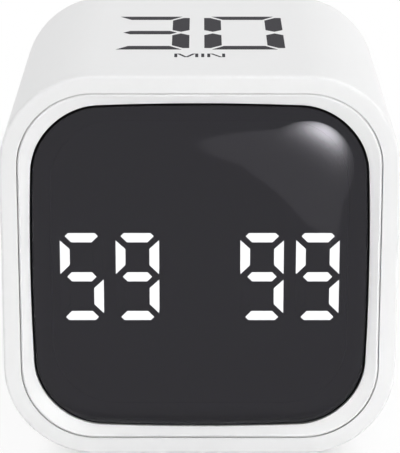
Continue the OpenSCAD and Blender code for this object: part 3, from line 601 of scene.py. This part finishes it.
def numeral_shapes(text, middle_y):
    """Outlines of a number's strokes, centred on x = 0."""
    shapes = []
    for place, numeral in enumerate(text):
        x0 = (place - (len(text) - 1) / 2) * NUMERAL_STEP + (PAIR_SHIFT if len(text) == 2 else 0)
        for stroke in STROKES[numeral]:
            shapes.append([(x0 + x, middle_y + y) for x, y in stroke_shape(stroke)])
    return shapes


LETTER_H = 2.4 * MM
LETTER_STROKE = 0.46 * MM
LETTER_M_W = 3.66 * MM
LETTER_N_W = 2.74 * MM
LETTER_GAP = 0.46 * MM
SLANT_RUN = 1.1 * LETTER_STROKE
SLANT_IN = 0.8 * LETTER_STROKE
VALLEY_HALF = 0.5 * LETTER_STROKE


def unit_shapes(middle_y):
    """Outlines of the word MIN in thin wide letters, centred on x = 0."""
    total = LETTER_M_W + LETTER_N_W + LETTER_STROKE + 2 * LETTER_GAP
    low, high = middle_y - LETTER_H / 2, middle_y + LETTER_H / 2
    shapes = []

    def upright(x):
        shapes.append([(x, low), (x + LETTER_STROKE, low), (x + LETTER_STROKE, high), (x, high)])

    def slant(top, foot):
        """A diagonal whose left side runs from x = top down to x = foot."""
        shapes.append([(top, high), (foot, low), (foot + SLANT_RUN, low), (top + SLANT_RUN, high)])

    x = -total / 2
    end = x + LETTER_M_W
    mid = x + LETTER_M_W / 2
    upright(x)
    slant(x + SLANT_IN, mid + VALLEY_HALF - SLANT_RUN)
    slant(end - SLANT_IN - SLANT_RUN, mid - VALLEY_HALF)
    upright(end - LETTER_STROKE)
    x = end + LETTER_GAP
    upright(x)
    x += LETTER_STROKE + LETTER_GAP
    upright(x)
    slant(x + SLANT_IN, x + LETTER_N_W - SLANT_IN - SLANT_RUN)
    upright(x + LETTER_N_W - LETTER_STROKE)
    return shapes


def add_print(name, shapes, middle, right, up):
    """Thin printed shapes on a face: middle is a point on it, right and up its directions."""
    out = right.cross(up)
    points, faces = [], []
    for shape in shapes:
        base = len(points)
        count = len(shape)
        for height in (-PRINT_DOWN, PRINT_UP):
            points += [middle + right * x + up * y + out * height for x, y in shape]
        faces.append(tuple(base + k for k in reversed(range(count))))
        faces.append(tuple(base + count + k for k in range(count)))
        for k in range(count):
            after = (k + 1) % count
            faces.append((base + k, base + after, base + count + after, base + count + k))
    add_mesh(name, points, faces, PRINT_INK, "case", smooth=False)


def add_side_prints():
    """The minutes that each side stands for, read from the front when that side is up."""
    x_axis, y_axis, z_axis = Vector((1, 0, 0)), Vector((0, 1, 0)), Vector((0, 0, 1))
    centre = Vector((0, 0, MID_Z))
    reach = sleeve_high.x
    sides = {
        "top": ("30", z_axis, x_axis),
        "right": ("15", x_axis, -z_axis),
        "left": ("5", -x_axis, z_axis),
        "base": ("60", -z_axis, -x_axis),
    }
    for side, (minutes, out, right) in sides.items():
        middle = centre + out * reach
        add_print(f"minutes_{side}", numeral_shapes(minutes, NUMERAL_Y), middle, right, y_axis)
        add_print(f"unit_{side}", unit_shapes(UNIT_Y), middle, right, y_axis)


add_side_prints()


# Floor, sky and lamps


def chain(tree, kind, operation, *inputs, output=0):
    """A math or vector node whose inputs are outputs of other nodes or plain values."""
    node = tree.nodes.new(kind)
    node.operation = operation
    for socket, value in zip(node.inputs, inputs):
        if isinstance(value, bpy.types.NodeSocket):
            tree.links.new(value, socket)
        else:
            socket.default_value = value
    return node.outputs[output]


def seen_directly(tree):
    """1 for rays from the camera and for mirrored and refracted ones, else 0."""
    path = tree.nodes.new("ShaderNodeLightPath")
    seen = path.outputs["Is Camera Ray"]
    for ray in ("Is Glossy Ray", "Is Transmission Ray"):
        seen = chain(tree, "ShaderNodeMath", "MAXIMUM", seen, path.outputs[ray])
    return seen


def soft_step(tree, value, start, stop, low, high):
    """A number that eases from low to high while the value goes from start to stop."""
    ease = tree.nodes.new("ShaderNodeMapRange")
    ease.interpolation_type = "SMOOTHSTEP"
    for name, number in (("From Min", start), ("From Max", stop), ("To Min", low), ("To Max", high)):
        ease.inputs[name].default_value = number
    tree.links.new(value, ease.inputs["Value"])
    return ease.outputs["Result"]


STAGE_STEPS = 96


def stage_disc(name, radius, at, turn):
    """A round piece of the studio, and the nodes of its empty material with their output."""
    turns = [2 * math.pi * k / STAGE_STEPS for k in range(STAGE_STEPS)]
    rim = [(radius * math.cos(a), radius * math.sin(a), 0) for a in turns]
    mesh = bpy.data.meshes.new(name)
    mesh.from_pydata(rim, [], [tuple(range(STAGE_STEPS))])
    disc = bpy.data.objects.new(name, mesh)
    disc.location = at
    disc.rotation_euler = turn
    bpy.context.scene.collection.objects.link(disc)
    material = bpy.data.materials.new(name)
    material.use_nodes = True
    tree = material.node_tree
    tree.nodes.clear()
    mesh.materials.append(material)
    return tree, tree.nodes.new("ShaderNodeOutputMaterial")


SKY_LIGHT = 0.6
SKY_FRONT_LIGHT = 0.46
SKY_FRONT_EDGE = math.cos(math.radians(55)), math.cos(math.radians(35))


def add_sky():
    """White where it is seen, and a plain soft light on the object that is weakest from the front."""
    world = bpy.data.worlds.new("sky")
    bpy.context.scene.world = world
    world.use_nodes = True
    tree = world.node_tree
    tree.nodes.clear()
    out = tree.nodes.new("ShaderNodeOutputWorld")
    mix = tree.nodes.new("ShaderNodeMixShader")
    where = tree.nodes.new("ShaderNodeTexCoord").outputs["Generated"]
    ahead = chain(tree, "ShaderNodeVectorMath", "DOT_PRODUCT", where, (0, -1, 0), output="Value")
    light = tree.nodes.new("ShaderNodeBackground")
    power = soft_step(tree, ahead, *SKY_FRONT_EDGE, SKY_LIGHT, SKY_FRONT_LIGHT)
    tree.links.new(power, light.inputs["Strength"])
    white = tree.nodes.new("ShaderNodeBackground")
    white.inputs["Strength"].default_value = 1.0
    for node in (light, white):
        node.inputs["Color"].default_value = (1, 1, 1, 1)
    tree.links.new(seen_directly(tree), mix.inputs["Fac"])
    tree.links.new(light.outputs["Background"], mix.inputs[1])
    tree.links.new(white.outputs["Background"], mix.inputs[2])
    tree.links.new(mix.outputs["Shader"], out.inputs["Surface"])


FLOOR_DOWN = 0.05 * MM
FLOOR_R = 0.1
FLOOR_FADE = 0.6 * FLOOR_R, 0.95 * FLOOR_R
FLOOR_COLOUR = (0.9, 0.9, 0.9, 1)
FLOOR_GLOW = 0.9
# Round the object's footprint less white glow is mixed in, so the floor's own shading shows more there:
# mostly real shadow, partly painted shade.
CONTACT_GLOW = 0.45
CONTACT_HALF = Vector((16, 30)) * MM
CONTACT_REACH = 10 * MM


def add_floor():
    """A plain pale round floor that keeps a soft shadow of the object, darkened further in a zone round its
    footprint, and grows white towards its rim.
    """
    z = sleeve_low.z - FLOOR_DOWN
    tree, out = stage_disc("floor", FLOOR_R, (0, 0, z), (0, 0, 0))
    where = tree.nodes.new("ShaderNodeTexCoord").outputs["Object"]
    apart = tree.nodes.new("ShaderNodeSeparateXYZ")
    tree.links.new(where, apart.inputs["Vector"])
    away = chain(tree, "ShaderNodeVectorMath", "LENGTH", where, output="Value")
    share = soft_step(tree, away, *FLOOR_FADE, FLOOR_GLOW, 1.0)
    gaps = []
    for axis, half in zip("XY", CONTACT_HALF):
        across = chain(tree, "ShaderNodeMath", "ABSOLUTE", apart.outputs[axis])
        gaps.append(chain(tree, "ShaderNodeMath", "SUBTRACT", across, half))
    gap = chain(tree, "ShaderNodeMath", "MAXIMUM", *gaps)
    # Painted shade: the glow share falls in a zone shaped like the object's footprint.
    footprint_shade = soft_step(tree, gap, 0.0, CONTACT_REACH, CONTACT_GLOW / FLOOR_GLOW, 1.0)
    share = chain(tree, "ShaderNodeMath", "MULTIPLY", share, footprint_shade)
    glow = tree.nodes.new("ShaderNodeEmission")
    shade = tree.nodes.new("ShaderNodeBsdfDiffuse")
    shade.inputs["Color"].default_value = FLOOR_COLOUR
    mix = tree.nodes.new("ShaderNodeMixShader")
    tree.links.new(chain(tree, "ShaderNodeMath", "MULTIPLY", share, seen_directly(tree)), mix.inputs["Fac"])
    tree.links.new(shade.outputs["BSDF"], mix.inputs[1])
    tree.links.new(glow.outputs["Emission"], mix.inputs[2])
    tree.links.new(mix.outputs["Shader"], out.inputs["Surface"])


KEY_TURN = math.radians(17)
KEY_AWAY = 1.0
KEY_R = 0.325
KEY_BASE = 1.5
KEY_PEAK = 23.0
KEY_SPOT = (0.042, 0.152, 0.0)
KEY_SPREAD = (0.1, 0.105, 1.0)
KEY_AIM = Vector((18, -29, 47)) * MM
BELL_RATE = -0.5


def add_key_panel():
    """The main light: a large round diffuser in front on the right, brightest where its lamp is."""
    at = KEY_AIM + KEY_AWAY * Vector((math.sin(KEY_TURN), -math.cos(KEY_TURN), 0))
    tree, out = stage_disc("key_panel", KEY_R, at, (math.pi / 2, 0, KEY_TURN))
    where = tree.nodes.new("ShaderNodeTexCoord").outputs["Object"]
    off = chain(tree, "ShaderNodeVectorMath", "SUBTRACT", where, KEY_SPOT)
    off = chain(tree, "ShaderNodeVectorMath", "DIVIDE", off, KEY_SPREAD)
    square = chain(tree, "ShaderNodeVectorMath", "DOT_PRODUCT", off, off, output="Value")
    fall = chain(tree, "ShaderNodeMath", "MULTIPLY", square, BELL_RATE)
    fall = chain(tree, "ShaderNodeMath", "EXPONENT", fall)
    glow = tree.nodes.new("ShaderNodeEmission")
    power = chain(tree, "ShaderNodeMath", "MULTIPLY_ADD", fall, KEY_PEAK, KEY_BASE)
    tree.links.new(power, glow.inputs["Strength"])
    tree.links.new(glow.outputs["Emission"], out.inputs["Surface"])


# Place, width and height in metres, and watts of each lamp
LAMPS = {
    "top_lamp": ((0.35, 0.1, 1.05), (0.8, 0.8), 4.5),
    "right_lamp": ((1.0, 0.3, -0.08), (0.9, 1.0), 1.6),
    "left_lamp": ((-1.0, 0.2, -0.08), (0.9, 1.0), 2.7),
}
LAMP_AIM = (0, 0, 0.03)


def add_lamp(name, at, size, power):
    """A soft lamp that faces the middle of the object."""
    data = bpy.data.lights.new(name, "AREA")
    data.shape = "RECTANGLE"
    data.size, data.size_y = size
    data.energy = power
    lamp = bpy.data.objects.new(name, data)
    lamp.location = at
    lamp.rotation_euler = (Vector(LAMP_AIM) - Vector(at)).to_track_quat("-Z", "Y").to_euler()
    bpy.context.scene.collection.objects.link(lamp)


add_sky()
add_floor()
add_key_panel()
for lamp_name, (lamp_at, lamp_size, lamp_power) in LAMPS.items():
    add_lamp(lamp_name, lamp_at, lamp_size, lamp_power)

bpy.context.scene.view_settings.view_transform = "Standard"
